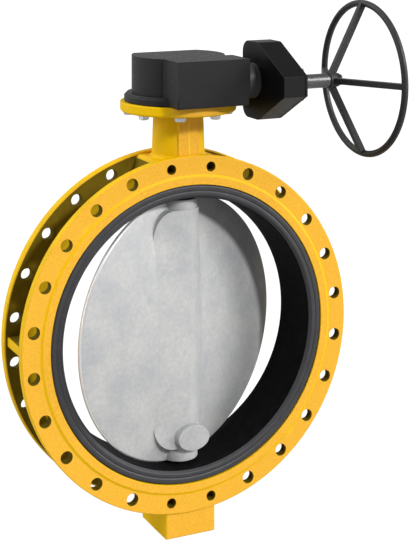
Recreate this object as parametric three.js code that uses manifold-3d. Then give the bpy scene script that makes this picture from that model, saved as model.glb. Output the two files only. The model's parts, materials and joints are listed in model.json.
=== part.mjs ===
// Double-flanged butterfly valve, DN 700 PN 10, with a worm gearbox, a spur-gear input stage and a handwheel.
// Millimetres. The pipe axis runs along Y with the front flange towards -Y, and the stem axis is Z. Sizes
// and places below are measured from where these two axes cross. The finished valve is lifted to stand on
// its foot, so the part's origin is on the stem axis, level with the underside. The disc rests 20 degrees open.
import * as THREE from "three";
import { mergeVertices } from "three/addons/utils/BufferGeometryUtils.js";
import Module from "manifold-3d";

const wasm = await Module();
wasm.setup();

// ---------------------------------------------------------------- driving dimensions

const GAP = 0.3; // between parts that are bolted or pressed together
const RUN = 0.4; // radial clearance between a shaft and what it turns in
const RING_SEGMENTS = 48; // facets round the body, liner and disc, which keep the same ones

// Body casting
const FACE = 82.5; // half the face-to-face length
const FLANGE_R = 447.5;
const FLANGE_BACK = 55.5; // inner face of each flange, from the mid-plane
const RAISED_R = 397;
const RAISED_STEP = 3;
const RAISED_BEVEL = 2.5; // half the width of the bevel round the raised face
const WEB_R = 392;
const BODY_BORE_R = 358.5;
const BOLT_CIRCLE_R = 420;
const BOLT_COUNT = 24;
const THROUGH_HOLE_R = 15;
const TAPPED_HOLE_R = 12;
const TAPPED_DEPTH = 33;
const RIB = { from: 385, to: 438, half: 11 };
const NECK = { foot: 385, low: 68, high: 64, top: 552.5 };
const NECK_PAD = { half: 29, face: 66 };
const NECK_BLOCK = { half: 90, low: 380, top: 437 };
const TOP_FLANGE = { r: 149, top: 578, boltCircle: 127, bolts: 8, holeR: 9.2 };
const FOOT = { halfX: 68.5, halfY: 75, bottom: -508, top: -380 };
const STEM_BORE_R = 38;
const COVER = { top: -486, r: 55.7, recessR: 56, screwCircle: 46, screwR: 4, headR: 7, headTop: -500 };

// Rubber liner
const LINER_BORE_R = 340;
const COLLAR_R = 374;
const COLLAR_DEPTH = 12.5;

// Disc and stems
const REST_OPEN = THREE.MathUtils.degToRad(20);
const DISC_R = 338.5;
const RIM_HALF = 6;
const LENS_HALF = 48;
const HUB_R = 51;
const HUB_END = 333;
const STEM_R = 30;
const BOSS = { z: -268, reach: 62.2, wide: 40.8, high: 31.7 };
const PIN_R = 10;

// Gear teeth
const PRESSURE_ANGLE = THREE.MathUtils.degToRad(20);
const ROOT_DEPTH = 1.2; // dedendum in modules

// Worm gearbox
const BASE = { low: 578.3, high: 600, r: 138.7 };
const HOUSING = { r: 119.5, rear: 80, low: 600.3, high: 695 };
const CHAMBER = { r: 104, rear: 70, top: 676 };
const WORM_BOX = { left: -79, right: 115, front: -170, low: 578.5 };
const WORM_Y = -120;
const AXLE_Z = 634; // height of the worm axis and of the input axis
const WORM_MODULE = 5;
const WORM_PITCH_R = 25;
const WORM_ROOT_R = WORM_PITCH_R - ROOT_DEPTH * WORM_MODULE;
const WORM_TURNS = 4.5;
const WORM_SEGMENTS = 12; // facets in one turn of the thread and round its core
const WHEEL_TEETH = 38;
const WHEEL_PITCH_R = (WHEEL_TEETH * WORM_MODULE) / 2;
const WORM_TOOTH = 7.1; // thickness at the pitch line, which leaves the backlash
const WHEEL_HALF_WIDTH = 22;
const WORM_SHAFT_R = 17.5;
const WHEEL_HUB_R = 50;
const BUSH_R = 57;
const STOP = { x: 76, tip: 31, end: 102, r: 6 };

// Spur stage and handwheel
const SPUR_MODULE = 3;
const GEAR_TEETH = 33;
const PINION_TEETH = 23;
const SPUR_BACKLASH = 0.5;
const INPUT_Y = WORM_Y - (SPUR_MODULE * (GEAR_TEETH + PINION_TEETH)) / 2;
const SLEEVE_R = 44.5;
const CASE = { back: 154.3, open: 213, cover: 221, wall: 12, farWall: 6.5 };
const CASE_OUTLINE = { far: -60, shoulder: -138, near: -284, high: 98, low: 25, corner: 30 };
const INPUT_R = 18;
const WHEEL_RIM = { x: 427, r: 190.5, tube: 10 };
const WHEEL_HUB = { from: 322.3, to: 342, r: 20, bore: 14 };
const SPOKE = { width: 17, thick: 7, count: 4 };

// ---------------------------------------------------------------- materials

const finish = (color, roughness, metalness) => new THREE.MeshStandardMaterial({ color, roughness, metalness });
const YELLOW = finish(0xfabc3c, 0.5, 0);
const BLACK_PAINT = finish(0x37373a, 0.55, 0);
const RUBBER = finish(0x2a2a2c, 0.8, 0);
const CAST_DISC = finish(0xc8cacc, 0.55, 0.4);
const STEEL = finish(0x9a9da0, 0.35, 0.9);
const ZINC = finish(0xc9cdd2, 0.3, 0.9);
const BRONZE = finish(0xb08d4c, 0.4, 0.8);

// ---------------------------------------------------------------- shape helpers

// A closed geometry as a solid that can be joined or cut.
function solidOf(geometry) {
  const bare = new THREE.BufferGeometry().setAttribute("position", geometry.getAttribute("position"));
  bare.setIndex(geometry.index);
  const merged = mergeVertices(bare, 1e-3);
  const corners = merged.index.array;
  const kept = [];
  for (let i = 0; i < corners.length; i += 3) {
    const [a, b, c] = corners.subarray(i, i + 3);
    if (a !== b && b !== c && c !== a) kept.push(a, b, c);
  }
  return new wasm.Manifold(
    new wasm.Mesh({
      numProp: 3,
      vertProperties: merged.attributes.position.array,
      triVerts: new Uint32Array(kept),
    }),
  );
}

function geometryOf(solid) {
  const { vertProperties, triVerts } = solid.getMesh();
  return new THREE.BufferGeometry()
    .setAttribute("position", new THREE.BufferAttribute(vertProperties, 3))
    .setIndex(new THREE.BufferAttribute(triVerts, 1));
}

function join(...pieces) {
  return geometryOf(pieces.map(solidOf).reduce((sum, piece) => sum.add(piece)));
}

function cut(stock, ...tools) {
  return geometryOf(tools.map(solidOf).reduce((left, tool) => left.subtract(tool), solidOf(stock)));
}

// Turns a profile of [radius, height] points, anticlockwise with the radius to the right, about +Z.
function turned(profile, segments) {
  const points = profile.map(([r, z]) => new THREE.Vector2(r, z));
  if (profile[0][0] > 0) points.push(points[0].clone());
  return new THREE.LatheGeometry(points, segments).rotateX(Math.PI / 2);
}

function rod(radius, low, high, segments = 24) {
  const profile = [
    [0, low],
    [radius, low],
    [radius, high],
    [0, high],
  ];
  return turned(profile, segments);
}

function tube(inner, outer, low, high, segments = 24) {
  const profile = [
    [inner, low],
    [outer, low],
    [outer, high],
    [inner, high],
  ];
  return turned(profile, segments);
}

// A stepped shaft from [radius, from, to] lengths that follow one another.
function stepped(lengths, segments = 16) {
  const profile = [[0, lengths[0][1]]];
  for (const [radius, from, to] of lengths) profile.push([radius, from], [radius, to]);
  profile.push([0, profile.at(-1)[1]]);
  return turned(profile, segments);
}

function block(x0, x1, y0, y1, z0, z1) {
  const box = new THREE.BoxGeometry(x1 - x0, y1 - y0, z1 - z0);
  return box.translate((x0 + x1) / 2, (y0 + y1) / 2, (z0 + z1) / 2);
}

// Extrudes an outline in XY from one height to another.
function prism(shape, low, high, steps = 1) {
  const settings = { depth: high - low, bevelEnabled: false, steps, curveSegments: 4 };
  return new THREE.ExtrudeGeometry(shape, settings).translate(0, 0, low);
}

const alongX = (geometry) => geometry.rotateY(Math.PI / 2); // what pointed to +Z points to +X
const alongY = (geometry) => geometry.rotateX(-Math.PI / 2); // what pointed to +Z points to +Y

// Radius of a faceted bore whose flats clear a shaft of the given radius.
const boreFor = (radius, clearance, segments) => (radius + clearance) / Math.cos(Math.PI / segments);

function ringOf(count, firstAngle, make) {
  return Array.from({ length: count }, (_, i) => make(firstAngle + (i * 2 * Math.PI) / count, i));
}

// ---------------------------------------------------------------- gears

// Angle by which an involute flank has swung in at a radius, from its base circle.
function involute(radius, baseRadius) {
  const angle = Math.acos(Math.min(1, baseRadius / radius));
  return Math.tan(angle) - angle;
}

// Half the angle that a tooth covers at a radius.
function toothHalfAngle(radius, pitchR, thickness) {
  const baseR = pitchR * Math.cos(PRESSURE_ANGLE);
  return thickness / (2 * pitchR) + involute(pitchR, baseR) - involute(radius, baseR);
}

// Outline points of one gear tooth, centred on an angle.
function toothPoints(centre, pitchR, module, thickness) {
  const rootR = pitchR - ROOT_DEPTH * module;
  const radii = [rootR, pitchR, pitchR + module];
  const flank = radii.map((r) => [r, toothHalfAngle(r, pitchR, thickness)]);
  const rising = flank.map(([r, half]) => [r, centre - half]);
  const falling = flank.map(([r, half]) => [r, centre + half]).reverse();
  return [...rising, ...falling].map(([r, a]) => new THREE.Vector2(r * Math.cos(a), r * Math.sin(a)));
}

// A spur gear about +X with the given angle of its first tooth, measured from -Z towards +Y.
function spurGear(teeth, firstTooth, from, to) {
  const pitchR = (SPUR_MODULE * teeth) / 2;
  const thickness = (Math.PI * SPUR_MODULE) / 2 - SPUR_BACKLASH;
  const points = ringOf(teeth, firstTooth, (a) => toothPoints(a, pitchR, SPUR_MODULE, thickness)).flat();
  return alongX(prism(new THREE.Shape(points), from, to));
}

// The worm thread: a trapezoid swept round +X, one right-handed start, with a gap facing +Y at x = 0.
function wormThread() {
  const lead = Math.PI * WORM_MODULE;
  const tipR = WORM_PITCH_R + WORM_MODULE;
  const footR = WORM_ROOT_R - 1; // inside the core
  const halfAt = (r) => WORM_TOOTH / 2 + (WORM_PITCH_R - r) * Math.tan(PRESSURE_ANGLE);
  const section = [
    [footR, -halfAt(footR)],
    [tipR, -halfAt(tipR)],
    [tipR, halfAt(tipR)],
    [footR, halfAt(footR)],
  ];
  const steps = WORM_TURNS * WORM_SEGMENTS;
  const positions = [];
  const index = [];
  const n = section.length;
  for (let i = 0; i <= steps; i++) {
    const turn = (i - steps / 2) / WORM_SEGMENTS;
    const angle = 2 * Math.PI * (turn - 0.5); // half a turn puts the gap, not the thread, at x = 0
    for (const [r, across] of section) {
      positions.push(turn * lead + across, r * Math.cos(angle), r * Math.sin(angle));
    }
  }
  for (let i = 0; i < steps; i++) {
    for (let j = 0; j < n; j++) {
      const a = i * n + j;
      const b = i * n + ((j + 1) % n);
      index.push(a, a + n, b, b, a + n, b + n);
    }
  }
  const last = steps * n;
  for (let j = 1; j < n - 1; j++) {
    index.push(0, j, j + 1);
    index.push(last, last + j + 1, last + j);
  }
  const geometry = new THREE.BufferGeometry();
  geometry.setAttribute("position", new THREE.Float32BufferAttribute(positions, 3));
  return geometry.setIndex(index);
}

// Twists a geometry about Z by an angle for each millimetre of height.
function twist(geometry, perMillimetre) {
  const position = geometry.getAttribute("position");
  const point = new THREE.Vector3();
  const axis = new THREE.Vector3(0, 0, 1);
  for (let i = 0; i < position.count; i++) {
    point.fromBufferAttribute(position, i).applyAxisAngle(axis, point.z * perMillimetre);
    position.setXYZ(i, point.x, point.y, point.z);
  }
  return geometry;
}

// ---------------------------------------------------------------- scene graph

const valve = new THREE.Group();
const discAssembly = new THREE.Group(); // turns about the stem axis
const wormAssembly = new THREE.Group(); // turns about the worm axis
const inputAssembly = new THREE.Group(); // turns about the handwheel axis
discAssembly.rotation.z = REST_OPEN;
wormAssembly.position.set(0, WORM_Y, AXLE_Z);
inputAssembly.position.set(0, INPUT_Y, AXLE_Z);
valve.add(discAssembly, wormAssembly, inputAssembly);

// Stands on the ground: the underside of the foot is at height 0.
const standingValve = new THREE.Group();
valve.position.z = -FOOT.bottom;
standingValve.add(valve);

function add(group, name, geometry, material) {
  const mesh = new THREE.Mesh(geometry, material);
  mesh.name = name;
  group.add(mesh);
}

// ---------------------------------------------------------------- body, liner and stem bearings

function flangeHoles() {
  const step = (2 * Math.PI) / BOLT_COUNT;
  const nearStem = (a) => Math.abs(Math.sin(a)) > Math.cos(step);
  const tools = ringOf(BOLT_COUNT, step / 2, (a) => {
    const tapped = nearStem(a);
    const radius = tapped ? TAPPED_HOLE_R : THROUGH_HOLE_R;
    const inner = tapped ? FACE - TAPPED_DEPTH : FLANGE_BACK - 3;
    return [-1, 1].map((side) => {
      const ends = [side * inner, side * (FACE + 5)].sort((a, b) => a - b);
      const tool = alongY(rod(radius, ends[0], ends[1], 8));
      return tool.translate(BOLT_CIRCLE_R * Math.cos(a), 0, BOLT_CIRCLE_R * Math.sin(a));
    });
  });
  return tools.flat();
}

function flangedRing() {
  const pocketR = COLLAR_R + GAP + 0.2;
  const front = [
    [WEB_R, FLANGE_BACK],
    [FLANGE_R, FLANGE_BACK],
    [FLANGE_R, FACE - RAISED_STEP],
    [RAISED_R + RAISED_BEVEL, FACE - RAISED_STEP],
    [RAISED_R - RAISED_BEVEL, FACE],
    [pocketR, FACE],
    [pocketR, FACE - COLLAR_DEPTH - GAP],
    [BODY_BORE_R, FACE - COLLAR_DEPTH - GAP],
  ];
  const back = front.map(([r, y]) => [r, -y]).reverse();
  return alongY(turned([...front, ...back], RING_SEGMENTS));
}

function body() {
  const neckProfile = [
    [0, NECK.foot],
    [NECK.low, NECK.foot],
    [NECK.high, NECK.top],
    [TOP_FLANGE.r, NECK.top],
    [TOP_FLANGE.r, TOP_FLANGE.top],
    [0, TOP_FLANGE.top],
  ];
  const casting = join(
    flangedRing(),
    turned(neckProfile, 40),
    block(-NECK_PAD.half, NECK_PAD.half, -NECK_PAD.face, 0, NECK.foot, NECK.top + 5),
    block(-NECK_BLOCK.half, NECK_BLOCK.half, -FLANGE_BACK - 2, FLANGE_BACK + 2, NECK_BLOCK.low, NECK_BLOCK.top),
    block(-FOOT.halfX, FOOT.halfX, -FOOT.halfY, FOOT.halfY, FOOT.bottom, FOOT.top),
    ...[-1, 1].map((side) => {
      const ends = [side * RIB.from, side * RIB.to].sort((a, b) => a - b);
      return block(ends[0], ends[1], -FLANGE_BACK - 1, FLANGE_BACK + 1, -RIB.half, RIB.half);
    }),
  );
  const topBoltHoles = ringOf(TOP_FLANGE.bolts, Math.PI / 8, (a) =>
    rod(TOP_FLANGE.holeR, NECK.top - 5, TOP_FLANGE.top + 5, 8).translate(
      TOP_FLANGE.boltCircle * Math.cos(a),
      TOP_FLANGE.boltCircle * Math.sin(a),
      0,
    ),
  );
  return cut(
    casting,
    rod(STEM_BORE_R, 330, TOP_FLANGE.top + 5, 32),
    rod(STEM_BORE_R, COVER.top - 1, -330, 32),
    rod(COVER.recessR, FOOT.bottom - 5, COVER.top, 32),
    ...coverScrewPlaces((x, y) => rod(COVER.screwR + 0.4, COVER.top - 1, COVER.top + 20, 8).translate(x, y, 0)),
    ...topBoltHoles,
    ...flangeHoles(),
  );
}

function coverScrewPlaces(make) {
  return ringOf(4, Math.PI / 4, (a) => make(COVER.screwCircle * Math.cos(a), COVER.screwCircle * Math.sin(a)));
}

function liner() {
  const webR = BODY_BORE_R - GAP - 0.2;
  const lip = FACE - GAP;
  const shoulder = FACE - COLLAR_DEPTH;
  const front = [
    [webR, shoulder],
    [COLLAR_R, shoulder],
    [COLLAR_R, lip - 3],
    [COLLAR_R - 3, lip],
    [LINER_BORE_R + 8, lip],
    [LINER_BORE_R, lip - 6],
  ];
  const back = front.map(([r, y]) => [r, -y]).reverse();
  const stemHoleR = boreFor(STEM_R, RUN, 24);
  return cut(
    alongY(turned([...front, ...back], RING_SEGMENTS)),
    rod(stemHoleR, 300, 400, 24),
    rod(stemHoleR, -400, -300, 24),
  );
}

function addStemBearings() {
  const inner = boreFor(STEM_R, RUN, 24);
  const outer = STEM_BORE_R - 0.5;
  const bush = (low, high) => tube(inner, outer, low, high, 24);
  const seal = (z) => {
    const middle = (inner + outer) / 2;
    const half = (outer - inner) / 2;
    const profile = ringOf(4, 0, (a) => [middle + half * Math.cos(a), z + half * Math.sin(a)]);
    return turned(profile, 24);
  };
  add(valve, "neck_bush_lower", bush(362, 440), BRONZE);
  add(valve, "neck_bush_upper", bush(484, 560), BRONZE);
  add(valve, "stem_seal_lower", seal(452), RUBBER);
  add(valve, "stem_seal_upper", seal(470), RUBBER);
  add(valve, "trunnion_bush", bush(-452, -362), BRONZE);
  add(valve, "trunnion_seal", seal(-462), RUBBER);
}

// The cover closes the lower stem bore, flush with the foot, and its screw heads sit in counterbores.
function addBottomCover() {
  const holes = coverScrewPlaces((x, y) =>
    rod(COVER.screwR + 0.6, FOOT.bottom - 1, COVER.top + 1, 8).translate(x, y, 0),
  );
  const counterbores = coverScrewPlaces((x, y) =>
    rod(COVER.headR + 1, FOOT.bottom - 1, COVER.headTop + GAP, 16).translate(x, y, 0),
  );
  const plate = rod(COVER.r, FOOT.bottom, COVER.top - GAP, 32);
  add(valve, "bottom_cover", cut(plate, ...holes, ...counterbores), YELLOW);
  coverScrewPlaces((x, y) => [x, y]).forEach(([x, y], i) => {
    const head = rod(COVER.headR, FOOT.bottom + 1.5, COVER.headTop, 16);
    const shank = rod(COVER.screwR, COVER.headTop - 1, COVER.top + 16, 8);
    add(valve, `cover_screw_${i + 1}`, join(head, shank).translate(x, y, 0), ZINC);
  });
}

function addTopFlangeBolts() {
  const underFlange = NECK.top - GAP;
  ringOf(TOP_FLANGE.bolts, Math.PI / 8, (a, i) => {
    const head = rod(24 / Math.sqrt(3), underFlange - 10.5, underFlange, 6);
    const shank = rod(8, underFlange - 1, 594, 8);
    const bolt = join(head, shank);
    bolt.translate(TOP_FLANGE.boltCircle * Math.cos(a), TOP_FLANGE.boltCircle * Math.sin(a), 0);
    add(valve, `flange_bolt_${i + 1}`, bolt, ZINC);
  });
}

add(valve, "body", body(), YELLOW);
add(valve, "seat_liner", liner(), RUBBER);
addStemBearings();
addBottomCover();
addTopFlangeBolts();

// ---------------------------------------------------------------- disc, stems and pin, in the closed position

const UPPER_STEM = { low: 164, high: 674 };
const TRUNNION = { low: -478, high: -184 };
const DISC_KEY = { low: 190, high: 290, halfWidth: 9, from: 23, to: 34 };
const WHEEL_KEY = { low: 606, high: 664, halfWidth: 9, from: 23, to: 34 };

// A key on the +X side of the stem, and the seat for it when a clearance is given.
function stemKey({ low, high, halfWidth, from, to }, clearance = 0) {
  const c = clearance;
  return block(from - c, to + c, -halfWidth - c, halfWidth + c, low - c, high + c);
}

function disc() {
  const samples = [
    [0, 1],
    [0.45, 0.8],
    [0.78, 0.39],
  ];
  const bulge = LENS_HALF - RIM_HALF;
  const upper = samples.map(([share, height]) => [share * DISC_R, RIM_HALF + bulge * height]);
  const lower = upper.map(([r, h]) => [r, -h]);
  const rim = [
    [DISC_R - 4, -RIM_HALF - 0.6],
    [DISC_R, -RIM_HALF + 2],
    [DISC_R, RIM_HALF - 2],
    [DISC_R - 4, RIM_HALF + 0.6],
  ];
  const lens = alongY(turned([...lower, ...rim, ...upper.reverse()], RING_SEGMENTS));
  const hub = rod(HUB_R, -HUB_END, HUB_END, 24);
  const oval = alongY(rod(1, -BOSS.reach - 30, 0, 24)).scale(BOSS.wide, 1, BOSS.high);
  // The boss is faced off parallel to the pipe flange at the rest angle.
  const facing = block(-150, 150, -150, 0, -60, 60).rotateZ(-REST_OPEN).translate(0, -BOSS.reach, 0);
  const boss = cut(oval, facing).translate(0, 0, BOSS.z);
  const stemHoleR = boreFor(STEM_R, GAP, 24);
  return cut(
    join(lens, hub, boss),
    rod(stemHoleR, UPPER_STEM.low - 4, 400, 24),
    rod(stemHoleR, -400, TRUNNION.high + 4, 24),
    stemKey(DISC_KEY, GAP),
    alongY(rod(PIN_R + 0.6, -47, 80, 16)).translate(0, 0, BOSS.z),
  );
}

function wormWheel() {
  const stopMargin = THREE.MathUtils.degToRad(0.4);
  const span = THREE.MathUtils.degToRad(130); // toothed part of the wheel
  const middle = THREE.MathUtils.degToRad(-115) - REST_OPEN; // in this group's closed frame
  const atWorm = -Math.PI / 2 - REST_OPEN; // a tooth is in mesh here at rest
  const points = ringOf(WHEEL_TEETH, atWorm, (a) =>
    toothPoints(a, WHEEL_PITCH_R, WORM_MODULE, WORM_TOOTH),
  ).flat();
  const leadAngle = Math.atan(WORM_MODULE / (2 * WORM_PITCH_R));
  const toothed = twist(
    prism(new THREE.Shape(points), -WHEEL_HALF_WIDTH, WHEEL_HALF_WIDTH, 2),
    Math.tan(leadAngle) / WHEEL_PITCH_R,
  ).translate(0, 0, AXLE_Z);
  const outside = WHEEL_PITCH_R + 40;
  const half = span / 2 - stopMargin;
  const away = new THREE.Shape();
  away.moveTo(0, 0);
  away.lineTo(outside * Math.cos(middle + half), outside * Math.sin(middle + half));
  away.absarc(0, 0, outside, middle + half, middle - half + 2 * Math.PI, false);
  away.lineTo(0, 0);
  const sector = cut(toothed, prism(away, AXLE_Z - 40, AXLE_Z + 40));
  const hub = rod(WHEEL_HUB_R, 584, 678, 24);
  return cut(join(sector, hub), rod(boreFor(STEM_R, GAP, 24), 500, 800, 24), stemKey(WHEEL_KEY, GAP));
}

add(discAssembly, "disc", disc(), CAST_DISC);
add(
  discAssembly,
  "upper_stem",
  cut(rod(STEM_R, UPPER_STEM.low, UPPER_STEM.high, 24), stemKey(DISC_KEY, GAP), stemKey(WHEEL_KEY, GAP)),
  STEEL,
);
add(discAssembly, "disc_key", stemKey(DISC_KEY), STEEL);
add(
  discAssembly,
  "trunnion",
  cut(
    rod(STEM_R, TRUNNION.low, TRUNNION.high, 24),
    alongY(rod(PIN_R + 0.6, -80, 80, 16)).translate(0, 0, BOSS.z),
  ),
  STEEL,
);
add(discAssembly, "trunnion_pin", alongY(rod(PIN_R, -46, 46, 16)).translate(0, 0, BOSS.z), STEEL);
add(discAssembly, "worm_wheel", wormWheel(), BRONZE);
add(discAssembly, "wheel_key", stemKey(WHEEL_KEY), STEEL);

// ---------------------------------------------------------------- gearbox

function gearboxBase() {
  const profile = [
    [BUSH_R, BASE.low],
    [BASE.r, BASE.low],
    [BASE.r, BASE.high - 5],
    [BASE.r - 4, BASE.high],
    [BUSH_R, BASE.high],
  ];
  const tappedHoles = ringOf(TOP_FLANGE.bolts, Math.PI / 8, (a) =>
    rod(8.8, BASE.low - 5, 596, 8).translate(
      TOP_FLANGE.boltCircle * Math.cos(a),
      TOP_FLANGE.boltCircle * Math.sin(a),
      0,
    ),
  );
  return cut(turned(profile, 40), ...tappedHoles);
}

function gearboxHousing() {
  // A round drum with a flat across its rear.
  const drum = (radius, rear, low, high) =>
    cut(rod(radius, low, high, 48), block(-200, 200, rear, 200, low - 5, high + 5));
  const box = block(WORM_BOX.left, WORM_BOX.right, WORM_BOX.front, -70, WORM_BOX.low, HOUSING.high);
  const stopHoles = [-1, 1].map((side) =>
    alongY(rod(STOP.r + 0.6, 50, 100, 12)).translate(side * STOP.x, 0, AXLE_Z),
  );
  return cut(
    join(drum(HOUSING.r, HOUSING.rear, HOUSING.low, HOUSING.high), box),
    rod(BASE.r + 1.5, 560, HOUSING.low, 40),
    drum(CHAMBER.r, CHAMBER.rear, 590, CHAMBER.top),
    rod(BUSH_R, 670, 684.5, 24),
    alongX(rod(33, -70, 130, 20)).translate(0, WORM_Y, AXLE_Z),
    ...stopHoles,
  );
}

function addWormBearings() {
  const inner = boreFor(WORM_SHAFT_R, RUN, 20);
  const place = (geometry) => alongX(geometry).translate(0, WORM_Y, AXLE_Z);
  add(valve, "worm_bearing_inner", place(tube(inner, 32.6, -69.7, -52, 20)), STEEL);
  add(valve, "worm_bearing_outer", place(tube(inner, 32.6, 82, 100, 20)), STEEL);
  add(valve, "worm_bearing_retainer", place(tube(21, 32.6, 100.3, 114.7, 20)), STEEL);
}

function addStops() {
  [
    ["closed", -1],
    ["open", 1],
  ].forEach(([name, side]) => {
    const place = (geometry) => alongY(geometry).translate(side * STOP.x, 0, AXLE_Z);
    add(valve, `${name}_stop_screw`, place(rod(STOP.r, STOP.tip, STOP.end, 12)), ZINC);
    const nutLow = HOUSING.rear + GAP;
    const nut = cut(rod(11, nutLow, nutLow + 9, 6), rod(STOP.r + 0.5, nutLow - 5, nutLow + 15, 12));
    add(valve, `${name}_stop_nut`, place(nut), ZINC);
  });
}

const wheelBush = (low, high) => tube(boreFor(WHEEL_HUB_R, RUN, 24), BUSH_R - 0.5, low, high, 24);

add(valve, "gearbox_base", gearboxBase(), BLACK_PAINT);
add(valve, "gearbox_housing", gearboxHousing(), BLACK_PAINT);
add(valve, "wheel_bush_lower", wheelBush(584, 600), BRONZE);
add(valve, "wheel_bush_upper", wheelBush(668, 684), BRONZE);
addWormBearings();
addStops();

function wormShaft() {
  const shaft = stepped([
    [WORM_SHAFT_R, -66, 197],
    [15, 197, 210],
  ]);
  const core = alongX(rod(WORM_ROOT_R, -48, 48, WORM_SEGMENTS));
  return cut(join(alongX(shaft), core, wormThread()), gearKey(GAP));
}

// The parallel key between the worm shaft and its spur gear.
function gearKey(clearance = 0) {
  const c = clearance;
  return block(174 - c, 194 + c, -5 - c, 5 + c, 12.5 - c, 21 + c);
}

function drivenGear() {
  const gear = spurGear(GEAR_TEETH, -Math.PI / 2, 172, 196);
  return cut(gear, alongX(rod(boreFor(WORM_SHAFT_R, GAP, 20), 150, 250, 20)), gearKey(GAP));
}

add(wormAssembly, "worm_shaft", wormShaft(), STEEL);
add(wormAssembly, "driven_gear", drivenGear(), STEEL);
add(wormAssembly, "driven_gear_key", gearKey(), STEEL);
add(wormAssembly, "worm_shaft_nut", alongX(tube(boreFor(15, GAP, 20), 24, 197.3, 206, 20)), STEEL);

// ---------------------------------------------------------------- spur-gear case

// Outline of the case in (y, height above the axles), with straight walls drawn in by a margin.
function caseOutline(margin, farMargin) {
  const { far, shoulder, near, high, low, corner } = CASE_OUTLINE;
  const slope = Math.atan2(high - low, shoulder - near);
  const farSide = far - farMargin;
  const top = high - margin;
  const r = corner - margin;
  const shoulderY = shoulder + margin * Math.tan(slope / 2);
  const nearSide = near + margin;
  const nearTop = low - margin * Math.tan((Math.PI / 2 - slope) / 2);
  const shape = new THREE.Shape();
  shape.moveTo(nearSide, -nearTop);
  shape.lineTo(shoulderY, -top);
  shape.absarc(farSide - r, -top + r, r, -Math.PI / 2, 0, false);
  shape.absarc(farSide - r, top - r, r, 0, Math.PI / 2, false);
  shape.lineTo(shoulderY, top);
  shape.lineTo(nearSide, nearTop);
  return shape;
}

// Stands an outline drawn in (y, height) up, extruded from one x to another.
function standing(shape, from, to) {
  return prism(shape, from, to).rotateX(Math.PI / 2).rotateZ(Math.PI / 2).translate(0, 0, AXLE_Z);
}

const CASE_SCREWS = [
  [-74, 84],
  [-250, 34.5],
];

function caseScrewPlaces() {
  return CASE_SCREWS.flatMap(([y, up]) => [
    [y, up],
    [y, -up],
  ]);
}

function atAxles(geometry, y, up = 0) {
  return alongX(geometry).translate(0, y, AXLE_Z + up);
}

function gearCase() {
  const shell = cut(
    standing(caseOutline(0, 0), CASE.back, CASE.open),
    standing(caseOutline(CASE.wall, CASE.farWall), CASE.back + 9, CASE.open + 10),
  );
  const innerBoss = atAxles(rod(30, CASE.back + 5, 168, 24), INPUT_Y);
  return cut(
    join(shell, innerBoss),
    atAxles(rod(24, 140, 180, 24), WORM_Y),
    atAxles(rod(24.5, 159, 180, 24), INPUT_Y),
    ...caseScrewPlaces().map(([y, up]) => atAxles(rod(3.4, 190, 220, 8), y, up)),
  );
}

function gearCaseCover() {
  const plate = standing(caseOutline(0, 0), CASE.open + GAP, CASE.cover);
  const boss = atAxles(rod(34, 201, CASE.cover - 1, 24), INPUT_Y);
  return cut(
    join(plate, boss),
    atAxles(rod(27.5, 195, 218, 24), INPUT_Y),
    atAxles(rod(26.5, 210, 230, 24), INPUT_Y),
    ...caseScrewPlaces().map(([y, up]) => atAxles(rod(3.6, 205, 230, 8), y, up)),
  );
}

function addCaseScrews() {
  const seat = CASE.cover + GAP;
  caseScrewPlaces().forEach(([y, up], i) => {
    const head = rod(5.6, seat, seat + 4, 6);
    const shank = rod(3, 195, seat + 1, 8);
    add(valve, `case_screw_${i + 1}`, atAxles(join(head, shank), y, up), ZINC);
  });
}

add(valve, "input_sleeve", atAxles(tube(26, SLEEVE_R, WORM_BOX.right + GAP, CASE.back - GAP, 36), WORM_Y), BLACK_PAINT);
add(valve, "gear_case", gearCase(), BLACK_PAINT);
add(valve, "gear_case_cover", gearCaseCover(), BLACK_PAINT);
add(valve, "input_bearing_inner", atAxles(tube(boreFor(12, RUN, 20), 23.8, 159.3, 168, 20), INPUT_Y), STEEL);
add(valve, "input_bearing_outer", atAxles(tube(boreFor(15, RUN, 20), 26.8, 203, 217.5, 20), INPUT_Y), STEEL);
add(valve, "input_seal", atAxles(tube(boreFor(15, RUN, 20), 25.8, 218.5, 224, 20), INPUT_Y), RUBBER);
addCaseScrews();

// ---------------------------------------------------------------- input shaft and handwheel

function keyOnInput(from, to, low, high, clearance = 0) {
  const c = clearance;
  return block(from - c, to + c, -4 - c, 4 + c, low - c, high + c);
}

const pinionKey = (clearance) => keyOnInput(173, 195, 10.5, 18, clearance);
const handwheelKey = (clearance) => keyOnInput(325, 339, 10, 17, clearance);

function inputShaft() {
  const shaft = stepped([
    [12, 160, 169],
    [15, 169, 224.6],
    [INPUT_R, 224.6, WHEEL_HUB.from - GAP],
    [WHEEL_HUB.bore, WHEEL_HUB.from - GAP, 360],
  ]);
  return cut(alongX(shaft), pinionKey(GAP), handwheelKey(GAP));
}

function pinion() {
  const gapTowardsGear = Math.PI / 2 + Math.PI / PINION_TEETH;
  const gear = spurGear(PINION_TEETH, gapTowardsGear, 170, 198);
  return cut(gear, alongX(rod(boreFor(15, GAP, 20), 150, 250, 20)), pinionKey(GAP));
}

// Flat bar from the hub out to the rim, standing in the plane of +Z.
function spoke() {
  const from = new THREE.Vector2(WHEEL_HUB.from + 8, 12);
  const to = new THREE.Vector2(WHEEL_RIM.x + 1, WHEEL_RIM.r + 3);
  const along = to.clone().sub(from);
  const bar = block(-SPOKE.thick / 2, SPOKE.thick / 2, -SPOKE.width / 2, SPOKE.width / 2, 0, along.length());
  return bar.rotateY(Math.atan2(along.x, along.y)).translate(from.x, 0, from.y);
}

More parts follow.
